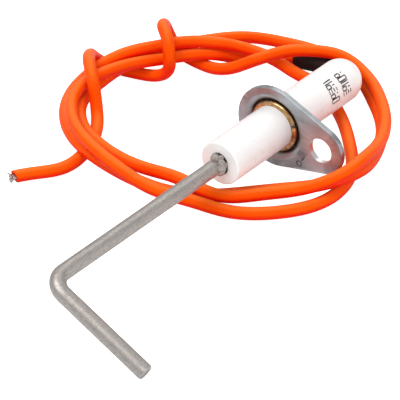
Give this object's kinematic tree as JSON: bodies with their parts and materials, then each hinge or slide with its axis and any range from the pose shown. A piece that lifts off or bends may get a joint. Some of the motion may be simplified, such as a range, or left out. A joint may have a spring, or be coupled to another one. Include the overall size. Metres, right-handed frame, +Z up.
{
  "type": "ignition electrode",
  "caption": "Ignition electrode with a bent spark rod in a domed ceramic insulator, a swivelling screw flange and a silicone cable wound in a loose coil.",
  "frame": {"origin": "centre of the mounting flange's front face, on the ceramic insulator's axis", "axes": "+Y along the ceramic's axis from the spark end to the cable end, +Z up, +X towards the flange's screw lobe"},
  "size_m": [0.0918, 0.1322, 0.0265],
  "materials": {
    "glazed_ceramic": "smooth white, faint gloss",
    "heating_alloy": "dull grey-brown drawn rod, scaled",
    "plated_steel": "stamped sheet, satin zinc plate",
    "ring_brass": "drawn wire, slightly tarnished",
    "seal_fibre": "compressed fibre",
    "cement": "matt, granular",
    "crimp_brass": "bright",
    "potting_compound": "matt",
    "boot_rubber": "matt black",
    "tinned_copper": "bright tinned wire",
    "silicone_red": "satin red-orange"
  },
  "bodies": {
    "insulator": {"ceramic_insulator": "glazed_ceramic", "electrode_rod": "heating_alloy", "front_cement": "cement", "rod_terminal": "crimp_brass", "potting": "potting_compound", "cable_boot": "boot_rubber", "cable_core": "tinned_copper", "cable_strands": "tinned_copper", "cable_jacket": "silicone_red"},
    "flange": {"mounting_flange": "plated_steel"},
    "seal": {"seal_ring": "seal_fibre"},
    "front_ring": {"front_retaining_ring": "ring_brass"},
    "rear_ring": {"rear_retaining_ring": "ring_brass"}
  },
  "joints": [
    {"name": "flange_swivel", "type": "hinge", "parent": "insulator", "child": "flange", "pos_m": [0, 0, 0], "axis": [0, 1, 0], "continuous": true},
    {"name": "seal_spin", "type": "hinge", "parent": "insulator", "child": "seal", "pos_m": [0, 0.0019, 0], "axis": [0, 1, 0], "continuous": true},
    {"name": "front_ring_spin", "type": "hinge", "parent": "insulator", "child": "front_ring", "pos_m": [0, 0.00085, 0], "axis": [0, 1, 0], "continuous": true},
    {"name": "rear_ring_spin", "type": "hinge", "parent": "insulator", "child": "rear_ring", "pos_m": [0, 0.00425, 0], "axis": [0, 1, 0], "continuous": true}
  ]
}
